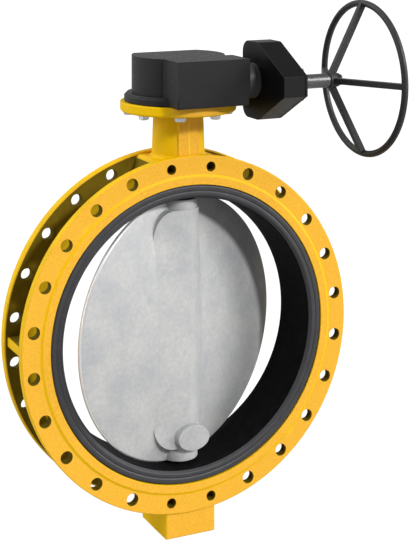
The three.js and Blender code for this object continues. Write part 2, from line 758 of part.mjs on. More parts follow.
function handwheel() {
  const rim = alongX(new THREE.TorusGeometry(WHEEL_RIM.r, WHEEL_RIM.tube, 6, 40)).translate(WHEEL_RIM.x, 0, 0);
  const hub = alongX(rod(WHEEL_HUB.r, WHEEL_HUB.from, WHEEL_HUB.to, 24));
  const spokes = ringOf(SPOKE.count, 0, (a) => spoke().rotateX(a));
  const boreR = boreFor(WHEEL_HUB.bore, GAP, 20);
  return cut(join(rim, hub, ...spokes), alongX(rod(boreR, 300, 380, 20)), handwheelKey(GAP));
}

add(inputAssembly, "input_shaft", inputShaft(), STEEL);
add(inputAssembly, "pinion", pinion(), STEEL);
add(inputAssembly, "pinion_key", pinionKey(), STEEL);
add(inputAssembly, "handwheel", handwheel(), BLACK_PAINT);
add(inputAssembly, "handwheel_key", handwheelKey(), STEEL);
add(
  inputAssembly,
  "handwheel_nut",
  alongX(cut(rod(17.5, 342.3, 355, 6), rod(boreFor(14, GAP, 20), 340, 360, 20))),
  ZINC,
);

export default standingValve;
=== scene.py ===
"""Finished looks of a double-flanged butterfly valve with a worm gearbox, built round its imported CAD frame.

Shapes are drawn in millimetres and scaled when they are placed. Heights are measured from the pipe axis,
which crosses the stem axis at the origin of every drawing, with the front flange towards -Y.
"""

import json
import math

import bmesh
import bpy
from mathutils import Matrix, Vector


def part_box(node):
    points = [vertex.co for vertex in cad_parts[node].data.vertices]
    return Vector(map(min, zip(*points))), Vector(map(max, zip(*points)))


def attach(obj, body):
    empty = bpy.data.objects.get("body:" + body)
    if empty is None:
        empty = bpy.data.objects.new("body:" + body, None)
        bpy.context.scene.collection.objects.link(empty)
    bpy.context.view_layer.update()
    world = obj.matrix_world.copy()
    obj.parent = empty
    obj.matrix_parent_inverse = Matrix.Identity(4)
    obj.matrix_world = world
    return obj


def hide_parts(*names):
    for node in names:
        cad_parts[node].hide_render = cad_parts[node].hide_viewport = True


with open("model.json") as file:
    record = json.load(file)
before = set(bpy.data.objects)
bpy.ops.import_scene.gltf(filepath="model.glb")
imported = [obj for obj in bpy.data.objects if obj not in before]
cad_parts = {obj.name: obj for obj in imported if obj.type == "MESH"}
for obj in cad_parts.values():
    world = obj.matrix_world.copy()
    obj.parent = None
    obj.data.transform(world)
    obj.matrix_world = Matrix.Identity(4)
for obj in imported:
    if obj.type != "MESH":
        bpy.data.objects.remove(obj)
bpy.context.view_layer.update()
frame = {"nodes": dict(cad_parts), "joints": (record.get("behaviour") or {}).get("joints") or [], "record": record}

# -------- sizes from the frame, in millimetres

MM = 0.001
JOINTS = {joint["name"]: joint for joint in frame["joints"]}
MOUNTS = {mount["name"]: mount for mount in frame["record"]["mounts"]}
SLOTS = {part["node"]: part["material_slot"] for part in frame["record"]["subparts"]}
BODY_OF = {node: body for body, nodes in frame["record"]["behaviour"]["bodies"].items() for node in nodes}


def joint_place(name):
    return Vector(JOINTS[name]["pos_m"]) / MM


AXIS = joint_place("disc_turn")  # where the pipe axis crosses the stem axis
WORM_AXIS = joint_place("worm_turn") - AXIS
WHEEL_AXIS = joint_place("handwheel_turn") - AXIS
REST_OPEN = -math.radians(JOINTS["disc_turn"]["range_deg"][0])


def extent(node):
    """Lowest and highest corner of a CAD node, measured from the pipe axis."""
    low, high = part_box(node)
    return low / MM - AXIS, high / MM - AXIS


BODY_LOW, BODY_HIGH = extent("body")
FLANGE_R = BODY_HIGH.x
TOP_FLANGE_R = BODY_HIGH.y
TOP_FLANGE_TOP = BODY_HIGH.z
FOOT_BOTTOM = BODY_LOW.z
FACE = MOUNTS["rear_flange_face"]["pos_m"][1] / MM
LINER_HIGH = extent("seat_liner")[1]
COLLAR_R = LINER_HIGH.z
LINER_FACE = LINER_HIGH.y
DISC_R = extent("disc")[1].z
STEM_LOW = extent("upper_stem")[0]
STEM_R = 30
TRUNNION_HIGH = extent("trunnion")[1]
BASE_LOW, BASE_HIGH = extent("gearbox_base")
HOUSING_LOW, HOUSING_HIGH = extent("gearbox_housing")
SLEEVE_LOW, SLEEVE_HIGH = extent("input_sleeve")
CASE_LOW, CASE_HIGH = extent("gear_case")
COVER_LOW, COVER_HIGH = extent("gear_case_cover")
SHAFT_LOW, SHAFT_HIGH = extent("input_shaft")
RIM_LOW, RIM_HIGH = extent("handwheel")

# -------- sizes of the castings

FLANGE_BACK = 55.5  # inner face of each flange
RAISED_R = 397
RAISED_STEP = 3
RAISED_BEVEL = 3
WEB_R = 392
BODY_BORE_R = 358.5
BOLT_CIRCLE_R = 420
BOLT_COUNT = 24
THROUGH_HOLE_R = 15
TAPPED_HOLE_R = 12
TAPPED_DEPTH = 33
HOLE_CHAMFER = 0.7
ZONE_RADII = [400.5, 411, 421.5, 432, 443]  # rows of corners in the flat part of a flange round its holes
RIB = {"from": 385, "to": 438, "half": 12.5}
NECK = {"foot": 400, "low": 68, "high": 64, "top": 552.5, "spread": 7}
NECK_PAD = {"half": 29, "face": 66, "low": 417}
NECK_BLOCK = {"half": 90, "low": 380, "top": 437, "lean": 16, "corner": 12}
TOP_BOLTS = {"circle": 127, "count": 8, "hole_r": 9.2}
FOOT = {"half_x": 68.5, "half_y": 75, "top": -380}
STEM_BORE_R = 38
STEM_BORE_START = 330
BOTTOM_COVER = {"top": -486, "recess_r": 56, "screw_circle": 46, "screw_r": 4.4, "head_r": 8, "seat": -500}
LINER_BORE_R = 340
COLLAR_DEPTH = 12.5
RIM_HALF = 6
LENS_HALF = 41
HUB_R = 52.5
BOSS = {"x": -11, "z": -268, "reach": 73, "wide": 40.8, "high": 31.7, "root": 10}
PIN_BORE_R = 10.6
RING_STEPS = 288  # facets round the body, a whole number of which lie between two bolt holes
ROUND_STEPS = 96
OVER = 5  # how far a cutting tool runs past the surface
FIT = 0.3  # gap round an inserted part


# -------- mesh helpers

def closed_off(work):
    """The mesh of a finished bmesh."""
    mesh = bpy.data.meshes.new("shape")
    work.to_mesh(mesh)
    work.free()
    return mesh


def mesh_from(points, faces):
    """A closed mesh with its faces turned outwards."""
    work = bmesh.new()
    corners = [work.verts.new(point) for point in points]
    for face in faces:
        work.faces.new([corners[i] for i in face])
    bmesh.ops.remove_doubles(work, verts=work.verts, dist=1e-4)
    bmesh.ops.recalc_face_normals(work, faces=work.faces)
    if work.calc_volume(signed=True) < 0:
        bmesh.ops.reverse_faces(work, faces=work.faces)
    return closed_off(work)


def woven(rows, count, start=0, closed=True):
    """Faces between successive rows of corners, each row with the same number of corners."""
    faces = []
    for row in range(rows - 1):
        for i in range(count if closed else count - 1):
            a, b = (start + row * count + k for k in (i, (i + 1) % count))
            faces.append([a, b, b + count, a + count])
    return faces


def around(count, first=0.0):
    """Angles evenly spaced round a circle."""
    return [first + 2 * math.pi * i / count for i in range(count)]


def on_circle(radius, angles):
    """Points (x, y) on a circle."""
    return [(radius * math.cos(a), radius * math.sin(a)) for a in angles]


def turned(profile, steps=ROUND_STEPS):
    """Turns a closed loop of (radius, height) points about Z. Corners that meet on the axis are merged."""
    loop = profile if profile[0][0] == 0 else profile + profile[:1]
    points = [(x, y, height) for radius, height in loop for x, y in on_circle(radius, around(steps))]
    return mesh_from(points, woven(len(loop), steps))


def rounded(outline, steps=5):
    """Replaces each (x, y, radius) corner of a closed outline by an arc. A radius of 0 stays sharp."""
    result = []
    for before, corner, after in zip(outline[-1:] + outline[:-1], outline, outline[1:] + outline[:1]):
        here = Vector(corner[:2])
        radius = corner[2] if len(corner) > 2 else 0
        if radius <= 0:
            result.append(tuple(here))
            continue
        back = (Vector(before[:2]) - here).normalized()
        ahead = (Vector(after[:2]) - here).normalized()
        half = back.angle(ahead) / 2
        reach = radius / math.tan(half)
        centre = here + (back + ahead).normalized() * (radius / math.sin(half))
        start = here + back * reach - centre
        end = here + ahead * reach - centre
        sweep = start.angle_signed(end)
        for k in range(steps + 1):
            result.append(tuple(centre + Matrix.Rotation(-sweep * k / steps, 2) @ start))
    return result


def prism(outline, low, high):
    """Stands an outline in XY up from one height to another."""
    n = len(outline)
    points = [(x, y, z) for z in (low, high) for x, y in outline]
    return mesh_from(points, [list(range(n)), list(range(n, 2 * n)), *woven(2, n)])


def span(half):
    return -half, half


def block(x, y, z, corner=0):
    """Box between two values on each axis, with its upright edges rounded."""
    outline = [(x[0], y[0], corner), (x[1], y[0], corner), (x[1], y[1], corner), (x[0], y[1], corner)]
    return prism(rounded(outline), *z)


def rod(radius, low, high, steps=ROUND_STEPS, edge=0):
    """Solid cylinder about Z with its edges rounded."""
    profile = rounded([(0, low), (radius, low, edge), (radius, high, edge), (0, high)], 3)
    return turned(profile, steps)


def tube(inner, outer, low, high, edge=0, steps=ROUND_STEPS):
    profile = [(inner, low, edge / 2), (outer, low, edge), (outer, high, edge), (inner, high, edge / 2)]
    return turned(rounded(profile, 3), steps)


def moved(mesh, *steps):
    """Applies matrices or offsets to a mesh, first to last."""
    for step in steps:
        mesh.transform(step if isinstance(step, Matrix) else Matrix.Translation(step))
    return mesh


def quarter(axis, turns=1):
    return Matrix.Rotation(turns * math.pi / 2, 4, axis)


def along_x(mesh):
    return moved(mesh, quarter("Y"))


def along_y(mesh):
    return moved(mesh, quarter("X", -1))


def eased(mesh, width, segments=3, limit=35):
    """Rounds every edge that is sharper than a limit."""
    work = bmesh.new()
    work.from_mesh(mesh)
    sharp = [e for e in work.edges if e.is_manifold and e.calc_face_angle(0) > math.radians(limit)]
    bmesh.ops.bevel(
        work, geom=sharp, offset=width, segments=segments, profile=0.5, affect="EDGES", clamp_overlap=True
    )
    return closed_off(work)


def placed(name, data):
    """An object of a mesh, light or camera, linked to the scene."""
    shape = bpy.data.objects.new(name, data)
    bpy.context.scene.collection.objects.link(shape)
    return shape


def evaluated(host, *helpers):
    """The mesh of an object with its modifiers applied, once the object and its helpers are gone."""
    graph = bpy.context.evaluated_depsgraph_get()
    result = bpy.data.meshes.new_from_object(host.evaluated_get(graph), depsgraph=graph)
    for shape in (host, *helpers):
        bpy.data.objects.remove(shape)
    return result


def combine(operation, base, *others):
    """Boolean join or cut of closed meshes."""
    host = placed("host", base)
    helpers = [placed("helper", other) for other in others]
    for helper in helpers:
        modifier = host.modifiers.new("boolean", "BOOLEAN")
        modifier.operation = operation
        modifier.solver = "EXACT"
        modifier.object = helper
    return evaluated(host, *helpers)


def joined(base, *others):
    return combine("UNION", base, *others)


def cut(base, *others):
    return combine("DIFFERENCE", base, *others)


def together(*meshes):
    """One mesh that holds several separate closed shapes, to cut with all of them at once."""
    work = bmesh.new()
    for mesh in meshes:
        work.from_mesh(mesh)
    return closed_off(work)


def shaded(mesh, sharp):
    """Smooth shading that breaks at sharp edges and leaves the large flat faces flat."""
    mesh.shade_smooth()
    mesh.set_sharp_from_angle(angle=math.radians(sharp))
    host = placed("host", mesh)
    host.modifiers.new("normals", "WEIGHTED_NORMAL").keep_sharp = True
    return evaluated(host)


def piece(name, mesh, node, finish=None, place=None, sharp=32):
    """Places a finished mesh in the frame, to stand for the CAD node that it refines.

    It rides the node's own body, and takes the finish of the node's material slot unless another finish is given.
    """
    mesh = shaded(moved(mesh, place or Matrix.Identity(4), AXIS, Matrix.Scale(MM, 4)), sharp)
    mesh.materials.clear()
    mesh.materials.append(finish or SLOT_FINISH[SLOTS[node]])
    shape = placed(name, mesh)
    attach(shape, BODY_OF[node])
    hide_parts(node)
    return shape


def refinish(shape, finishes, choose):
    """Gives faces a finish of their own: choose takes a face and its centre from the pipe axis."""
    for finish in finishes:
        shape.data.materials.append(finish)
    for face in shape.data.polygons:
        face.material_index = choose(face, face.center / MM - AXIS)


# -------- materials

def new_node(tree, kind, **settings):
    made = tree.nodes.new("ShaderNode" + kind)
    for name, value in settings.items():
        setattr(made, name, value)
    return made


def set_inputs(node, values):
    for name, value in values.items():
        node.inputs[name].default_value = value


class Finish:
    """A procedural material whose colour, roughness and relief come from noise in object space, in metres."""

    def __init__(self, name, roughness=0.5, metallic=0.0, specular=0.5):
        self.material = bpy.data.materials.new(name)
        self.material.use_nodes = True
        self.tree = self.material.node_tree
        self.shader = self.tree.nodes["Principled BSDF"]
        values = {"Roughness": roughness, "Metallic": metallic, "Specular IOR Level": specular}
        set_inputs(self.shader, values)
        self.place = self.node("TexCoord").outputs["Object"]
        self.height = None

    def node(self, kind, **settings):
        return new_node(self.tree, kind, **settings)

    def link(self, source, target):
        self.tree.links.new(source, target)

    def noise(self, grain, detail=3, stretch=(1, 1, 1), rough=0.55):
        """Noise between 0 and 1 whose features are about as large as the grain, in metres."""
        mapping = self.node("Mapping")
        set_inputs(mapping, {"Scale": stretch})
        self.link(self.place, mapping.inputs["Vector"])
        texture = self.node("TexNoise")
        set_inputs(texture, {"Scale": 1 / grain, "Detail": detail, "Roughness": rough})
        self.link(mapping.outputs["Vector"], texture.inputs["Vector"])
        return texture.outputs["Fac"]

    def spread(self, value, low, high, to_low=0.0, to_high=1.0):
        """Stretches the part of a value between two limits to another range."""
        ramp = self.node("MapRange")
        set_inputs(ramp, {"From Min": low, "From Max": high, "To Min": to_low, "To Max": to_high})
        self.link(value, ramp.inputs["Value"])
        return ramp.outputs["Result"]

    def cloud(self, grain, detail=3, between=(0.3, 0.7), to=(0.0, 1.0), rough=0.55):
        """Noise with the part between two limits stretched to a range."""
        return self.spread(self.noise(grain, detail, rough=rough), *between, *to)

    def mix(self, factor, low, high):
        """Blend of two colours, each a tuple or a socket."""
        blend = self.node("Mix", data_type="RGBA")
        self.link(factor, blend.inputs["Factor"])
        for socket, colour in ((blend.inputs[6], low), (blend.inputs[7], high)):
            if isinstance(colour, tuple):
                socket.default_value = (*colour, 1)
            else:
                self.link(colour, socket)
        return blend.outputs[2]

    def facing(self, direction, low, high):
        """How far the surface faces a direction, as 0 to 1 between two cosines."""
        product = self.node("VectorMath", operation="DOT_PRODUCT")
        product.inputs[1].default_value = direction
        self.link(self.node("NewGeometry").outputs["Normal"], product.inputs[0])
        return self.spread(product.outputs["Value"], low, high)

    def colour(self, source):
        self.link(source, self.shader.inputs["Base Color"])

    def roughness(self, source):
        self.link(source, self.shader.inputs["Roughness"])

    def relief(self, source, depth, strength):
        """Adds relief of a given depth, in metres."""
        bump = self.node("Bump")
        set_inputs(bump, {"Strength": strength, "Distance": depth})
        self.link(source, bump.inputs["Height"])
        if self.height is not None:
            self.link(self.height, bump.inputs["Normal"])
        self.height = bump.outputs["Normal"]
        self.link(self.height, self.shader.inputs["Normal"])

    def skin(self, rough, *layers):
        """Adds roughness as (grain, low, high) and relief as layers of (grain, detail, depth, strength)."""
        if rough:
            self.roughness(self.cloud(rough[0], to=rough[1:]))
        for grain, detail, depth, strength in layers:
            self.relief(self.noise(grain, detail), depth, strength)
        return self.material


CASTING_SKIN = (0.006, 2, 0.0004, 0.35)  # relief of a sand casting under its coating
ALONG_PIPE = (0, -1, 0)


def clouded(name, cloud, low, high, rough=None, layers=(), **settings):
    """Finish that clouds between two tones. The other terms are those of Finish.cloud and Finish.skin."""
    finish = Finish(name, **settings)
    finish.colour(finish.mix(finish.cloud(*cloud), low, high))
    return finish.skin(rough, *layers)


def yellow_coating():
    """Epoxy coating over a casting: deep yellow, with painted sheen that makes the faces looking along the pipe
    towards the front paler.
    """
    finish = Finish("yellow_coating", specular=0.08)
    deep = finish.mix(finish.cloud(0.09, 4), (0.64, 0.385, 0.0), (0.78, 0.475, 0.0))
    speckle = finish.cloud(0.004, 2, (0.35, 0.75))
    face = finish.mix(speckle, (0.71, 0.355, 0.030), (0.80, 0.445, 0.042))
    # painted sheen: the faces that look towards the front are paler
    front_sheen = finish.mix(finish.facing(ALONG_PIPE, 0.8, 0.97), deep, face)
    lightened_edges = finish.spread(finish.node("NewGeometry").outputs["Pointiness"], 0.57, 0.66)  # sharp outer edges, lighter in colour
    finish.colour(finish.mix(lightened_edges, front_sheen, (0.80, 0.51, 0.02)))
    return finish.skin((0.02, 0.42, 0.6), CASTING_SKIN, (0.0016, 1, 0.00015, 0.35))


def painted_shade_coating(name, low, high):
    """The coating in the channel between the flanges and in the bolt holes, darkened with painted shade, and dull.
    """
    return clouded(name, (0.03, 4), low, high, layers=[CASTING_SKIN], specular=0.05, roughness=0.75)


def black_paint(name, low, high):
    """Satin black paint with a fine stipple, darker on the faces away from the light."""
    finish = Finish(name, specular=0.27)
    lit = finish.mix(finish.cloud(0.05), low, high)
    unlit = tuple(0.3 * part for part in low)
    finish.colour(finish.mix(finish.facing((-1, 0, 0), 0.2, 0.9), lit, unlit))
    return finish.skin((0.01, 0.38, 0.52), (0.0022, 2, 0.0002, 0.3))


def gloss_black():
    """Deeper, smoother black of the spur-gear case, with painted sheen that makes the faces looking along the pipe
    towards the front greyer.
    """
    finish = Finish("gloss_black", specular=0.14)
    deep = finish.mix(finish.noise(0.05), (0.0008, 0.0008, 0.001), (0.0016, 0.0016, 0.002))
    # painted sheen: the faces that look towards the front are greyer
    finish.colour(finish.mix(finish.facing(ALONG_PIPE, 0.6, 0.95), deep, (0.014, 0.014, 0.015)))
    return finish.skin((0.01, 0.3, 0.4), (0.003, 2, 0.0001, 0.25))


def cast_disc():
    """Pale coated casting with a mottled sand-cast skin."""
    finish = Finish("cast_disc", metallic=0.15)
    large = finish.cloud(0.09, 5, (0.38, 0.62), rough=0.65)
    small = finish.cloud(0.010, 4, (0.36, 0.64), rough=0.75)
    cool = finish.mix(large, (0.345, 0.349, 0.36), (0.405, 0.405, 0.398))
    warm = finish.mix(large, (0.395, 0.398, 0.405), (0.475, 0.475, 0.465))
    finish.colour(finish.mix(small, cool, warm))
    return finish.skin((0.02, 0.45, 0.62), (0.012, 4, 0.0006, 0.25), (0.0025, 2, 0.0002, 0.4))


def machined_steel():
    """Turned steel: fine marks round the axis and a little oil."""
    finish = Finish("machined_steel", metallic=0.9)
    marks = finish.noise(0.003, 3, stretch=(6, 0.6, 0.6))
    finish.colour(finish.mix(finish.spread(marks, 0.3, 0.7), (0.13, 0.13, 0.135), (0.20, 0.20, 0.205)))
    finish.roughness(finish.spread(marks, 0.3, 0.7, 0.28, 0.42))
    finish.relief(marks, 0.00006, 0.3)
    return finish.material


# painted shade: dark for the channel faces and bolt holes, lighter for the faces of the web that look outwards
CHANNEL_SHADE = painted_shade_coating("shaded_coating", (0.12, 0.084, 0.005), (0.17, 0.119, 0.008))
WEB_SHADE = painted_shade_coating("web_painted_shade", (0.34, 0.21, 0.0), (0.44, 0.272, 0.0))
# painted sheen: a lighter black for the input sleeve, standing for its highlight
SLEEVE_SHEEN_BLACK = black_paint("sleeve_painted_sheen_black", (0.05, 0.05, 0.052), (0.065, 0.065, 0.068))
WHEEL_BLACK = black_paint("wheel_black_paint", (0.026, 0.026, 0.027), (0.034, 0.034, 0.036))
GLOSS = gloss_black()
STEP_HIGHLIGHT = clouded(  # painted highlight: a brighter line of coating along the step of the raised face
    "step_painted_highlight", (0.01, 3, (0, 1)), (0.72, 0.41, 0.004), (0.80, 0.465, 0.006),
    specular=0.1, roughness=0.45,
)
BORE_SHADE = clouded(  # painted shade: the rubber in the bore of the liner, darker and without shine
    "bore_painted_shade_rubber", (0.03,), (0.004, 0.004, 0.004), (0.007, 0.007, 0.008), (0.008, 0.5, 0.62), specular=0.02
)
TURNED_RIM = clouded(  # bright metal on the rim of the disc
    "machined_edge", (0.004,), (0.78, 0.79, 0.80), (0.90, 0.90, 0.90),
    layers=[(0.0009, 1, 0.00005, 0.4)], metallic=0.6, roughness=0.3,
)
SLOT_FINISH = {
    "yellow_coating": yellow_coating(),
    "black_paint": black_paint("black_paint", (0.011, 0.011, 0.012), (0.014, 0.014, 0.015)),
    "black_rubber": clouded(
        "black_rubber", (0.035, 4, (0.35, 0.75)), (0.033, 0.033, 0.036), (0.040, 0.040, 0.043),
        (0.008, 0.42, 0.62), [(0.0012, 2, 0.00012, 0.3)], specular=0.35,
    ),
    "coated_cast_disc": cast_disc(),
    "machined_steel": machined_steel(),
    "zinc_plated_steel": clouded(
        "zinc_plate", (0.006,), (0.60, 0.62, 0.66), (0.74, 0.75, 0.77),
        (0.004, 0.24, 0.4), [(0.001, 1, 0.00005, 0.3)], metallic=0.95,
    ),
    "bronze": clouded(
        "cast_bronze", (0.01, 4), (0.45, 0.29, 0.11), (0.60, 0.42, 0.18),
        (0.004, 0.3, 0.48), [(0.0015, 2, 0.0001, 0.3)], metallic=0.9,
    ),
}


# -------- body casting

SECTOR = 2 * math.pi / BOLT_COUNT
SECTOR_STEPS = RING_STEPS // BOLT_COUNT
FLAT = FACE - RAISED_STEP  # the flange round its raised face
BOLT_ANGLES = around(BOLT_COUNT, SECTOR / 2)
BOLT_SPOTS = on_circle(BOLT_CIRCLE_R, BOLT_ANGLES)
TOP_BOLT_SPOTS = on_circle(TOP_BOLTS["circle"], around(TOP_BOLTS["count"], math.pi / TOP_BOLTS["count"]))


def is_tapped(angle):
    """The holes next to the stem axis are blind and tapped."""
    return abs(math.sin(angle)) > math.cos(SECTOR)


def hole_patch(angle, side):
    """Flat sector of one flange round a through hole, front and back skins and the hole's wall.

    Every ring has as many corners as the sector's outline, which runs from the middle of one straight
    side, so the rings follow each other from the outline in to the hole.
    """
    half = SECTOR / 2
    swings = [SECTOR * k / SECTOR_STEPS - half for k in range(SECTOR_STEPS)]
    middle = len(ZONE_RADII) // 2
    outline = [(r, -half) for r in ZONE_RADII[middle:-1]]
    outline += [(ZONE_RADII[-1], swing) for swing in swings]
    outline += [(r, half) for r in reversed(ZONE_RADII[1:])]
    outline += [(ZONE_RADII[0], -swing) for swing in swings]
    outline += [(r, -half) for r in ZONE_RADII[:middle]]
    centre = Vector(on_circle(BOLT_CIRCLE_R, [angle])[0])
    outward = centre.normalized()
    backward = Vector((outward.y, -outward.x))

    def ring(radius):
        return [centre + x * backward + y * outward for x, y in on_circle(radius, around(len(outline)))]

    edge = [Vector((r * math.cos(angle + a), r * math.sin(angle + a))) for r, a in outline]
    mouth, wall = ring(THROUGH_HOLE_R + HOLE_CHAMFER), ring(THROUGH_HOLE_R)
    halfway = [(a + b) / 2 for a, b in zip(edge, mouth)]
    rings = [(edge, FLAT), (halfway, FLAT), (mouth, FLAT), (wall, FLAT - HOLE_CHAMFER)]
    rings += [(wall, FLANGE_BACK + HOLE_CHAMFER)]
    rings += [(corners, FLANGE_BACK) for corners in (mouth, halfway, edge)]
    points = [(p.x, side * y, p.y) for corners, y in rings for p in corners]
    return points, woven(len(rings), len(outline))


def plain_patch(angle, side):
    """The same sector without a hole."""
    angles = [angle + SECTOR * (k / SECTOR_STEPS - 0.5) for k in range(SECTOR_STEPS + 1)]
    rows = [(y, radius) for y in (FLAT, FLANGE_BACK) for radius in ZONE_RADII]
    points = [(x, side * y, z) for y, radius in rows for x, z in on_circle(radius, angles)]
    faces = []
    for start in (0, len(points) // 2):
        faces += woven(len(ZONE_RADII), len(angles), start, closed=False)
    return points, faces


def turned_band(profile, side):
    """Open band turned about the pipe axis from (radius, y) points."""
    points = [(x, side * y, z) for radius, y in profile for x, z in on_circle(radius, around(RING_STEPS))]
    return points, woven(len(profile), RING_STEPS)


def flanged_ring():
    """Both flanges and the web between them, with the through holes as part of the mesh."""
    pocket_r = COLLAR_R + 0.5
    pocket_y = FACE - COLLAR_DEPTH - FIT
    low, high = ZONE_RADII[0], ZONE_RADII[-1]
    rim = [(high, FLAT), (FLANGE_R, FLAT, 2.5), (FLANGE_R, FLANGE_BACK, 4), (high, FLANGE_BACK)]
    inside = [(low, FLANGE_BACK), (WEB_R, FLANGE_BACK, 7), (WEB_R, 0)]
    face = [
        (BODY_BORE_R, 0),
        (BODY_BORE_R, pocket_y, 1),
        (pocket_r, pocket_y, 1),
        (pocket_r, FACE, 1.2),
        (RAISED_R - RAISED_BEVEL - 1, FACE),
        (RAISED_R - RAISED_BEVEL, FACE, 1),
        (RAISED_R + RAISED_BEVEL, FLAT, 1),
        (low, FLAT),
    ]
    parts = []
    for side in (-1, 1):
        parts += [turned_band(rounded(band, 4), side) for band in (rim, inside, face)]
        parts += [(plain_patch if is_tapped(a) else hole_patch)(a, side) for a in BOLT_ANGLES]
    points = []
    faces = []
    for part_points, part_faces in parts:
        faces += [[i + len(points) for i in corners] for corners in part_faces]
        points += part_points
    return mesh_from(points, faces)


def neck():
    """Tapered neck with cast fillets at its foot and under the round top flange."""
    profile = [
        (0, NECK["foot"]),
        (NECK["low"] + NECK["spread"], NECK["foot"]),
        (NECK["low"] + NECK["spread"], NECK_BLOCK["top"] - 1),
        (NECK["low"], NECK_BLOCK["top"] + NECK["spread"], 9),
        (NECK["high"], NECK["top"], 7),
        (TOP_FLANGE_R, NECK["top"], 7),
        (TOP_FLANGE_R, TOP_FLANGE_TOP, 2),
        (0, TOP_FLANGE_TOP),
    ]
    return turned(rounded(profile), ROUND_STEPS * 2)


def blind_hole(spot, side):
    """Tool for a tapped hole: chamfered mouth, straight wall and a drill point."""
    bottom = FACE - TAPPED_DEPTH
    profile = [
        (0, bottom - TAPPED_HOLE_R / 2),
        (TAPPED_HOLE_R, bottom),
        (TAPPED_HOLE_R, FLAT - HOLE_CHAMFER),
        (TAPPED_HOLE_R + 2 * HOLE_CHAMFER, FLAT + HOLE_CHAMFER),
        (0, FLAT + HOLE_CHAMFER),
    ]
    return moved(turned(profile, 40), quarter("X", -side), (spot[0], 0, spot[1]))


def casting():
    """The body, with the parts of its casting joined and its bores cut."""
    reach = FLANGE_BACK + 3
    half, low, top, lean, corner = NECK_BLOCK.values()
    outline = [(-half - lean, low), (half + lean, low), (half, top, corner), (-half, top, corner)]
    saddle = moved(prism(rounded(outline), *span(reach)), quarter("X"))
    foot = block(span(FOOT["half_x"]), span(FOOT["half_y"]), (FOOT_BOTTOM, FOOT["top"]), 5)
    pad = block(span(NECK_PAD["half"]), (-NECK_PAD["face"], 0), (NECK_PAD["low"], NECK["top"] + 4), 2)
    runs = [(RIB["from"], RIB["to"]), (-RIB["to"], -RIB["from"])]
    ribs = [eased(block(run, span(reach), span(RIB["half"])), 3) for run in runs]
    whole = joined(flanged_ring(), saddle, eased(foot, 3), neck(), pad, *ribs)
    near_stem = [spot for a, spot in zip(BOLT_ANGLES, BOLT_SPOTS) if is_tapped(a)]
    tapped = [blind_hole(spot, side) for spot in near_stem for side in (-1, 1)]
    hole = rod(TOP_BOLTS["hole_r"], NECK["top"] - OVER, TOP_FLANGE_TOP + OVER, 32)
    bolt_holes = [moved(hole.copy(), (*spot, 0)) for spot in TOP_BOLT_SPOTS]
    upper_bore = rod(STEM_BORE_R, STEM_BORE_START, TOP_FLANGE_TOP + OVER)
    lower_bore = rod(STEM_BORE_R, BOTTOM_COVER["top"] - 1, -STEM_BORE_START)
    recess = rod(BOTTOM_COVER["recess_r"], FOOT_BOTTOM - OVER, BOTTOM_COVER["top"])
    return cut(whole, together(*tapped, *bolt_holes, upper_bore), lower_bore, recess)


def body_zone(face, spot):
    """Finish of a face of the body: 1 for painted shade in the channel and bolt holes, 2 for a painted highlight
    on the raised step, 3 for lighter painted shade on the web.
    """
    radius = math.hypot(spot.x, spot.z)
    depth = abs(spot.y)
    if depth <= FLANGE_BACK + 0.1:
        in_channel = BODY_BORE_R + 5 < radius < RIB["to"] - 0.5 or depth > FLANGE_BACK - 0.1
        on_foot = spot.z < 0 and abs(spot.x) < FOOT["half_x"] + 1
        if in_channel and radius < FLANGE_R - 3 and spot.z < NECK_BLOCK["top"] - 2 and not on_foot:
            outward = (face.normal.x * spot.x + face.normal.z * spot.z) / radius
            return 3 if outward > 0.7 else 1
    elif depth < FLAT - 0.1:
        nearest = min(math.hypot(spot.x - x, spot.z - z) for x, z in BOLT_SPOTS)
        return 1 if nearest < THROUGH_HOLE_R + HOLE_CHAMFER else 0
    elif abs(radius - RAISED_R) < RAISED_BEVEL + 0.4:
        return 2
    return 0


refinish(piece("body_casting", casting(), "body"), [CHANNEL_SHADE, STEP_HIGHLIGHT, WEB_SHADE], body_zone)


# -------- liner and bottom cover

def liner():
    """Rubber seat with a beaded collar over each flange face, holed for the stems."""
    face = LINER_FACE
    shoulder = FACE - COLLAR_DEPTH
    half = [
        (LINER_BORE_R, face - 9, 6),
        (LINER_BORE_R + 8, face - 0.5, 5),
        (LINER_BORE_R + 15, face - 0.8, 3),
        (LINER_BORE_R + 18, face - 2.4, 2),
        (LINER_BORE_R + 21, face - 0.6, 3),
        (COLLAR_R, face, 7),
        (COLLAR_R, shoulder, 1),
        (BODY_BORE_R - 0.5, shoulder),
    ]
    back = [(r, -y, *edge) for r, y, *edge in reversed(half)]
    ring = along_y(turned(rounded(half + back, 5), RING_STEPS))
    holes = [rod(STEM_R + 0.6, *height, 64) for height in ((300, 400), (-400, -300))]
    return cut(ring, together(*holes))


def bore_shade_zone(_, spot):
    """1 in the bore of the liner, up to its beads, which takes painted shade."""
    return int(math.hypot(spot.x, spot.z) < LINER_BORE_R + 3 and abs(spot.y) < LINER_FACE - 3)


refinish(piece("seat_liner_moulding", liner(), "seat_liner"), [BORE_SHADE], bore_shade_zone)


def hexagon(apothem):
    """Outline of a hexagon with half its width across flats given."""
    return on_circle(apothem / math.cos(math.pi / 6), around(6))


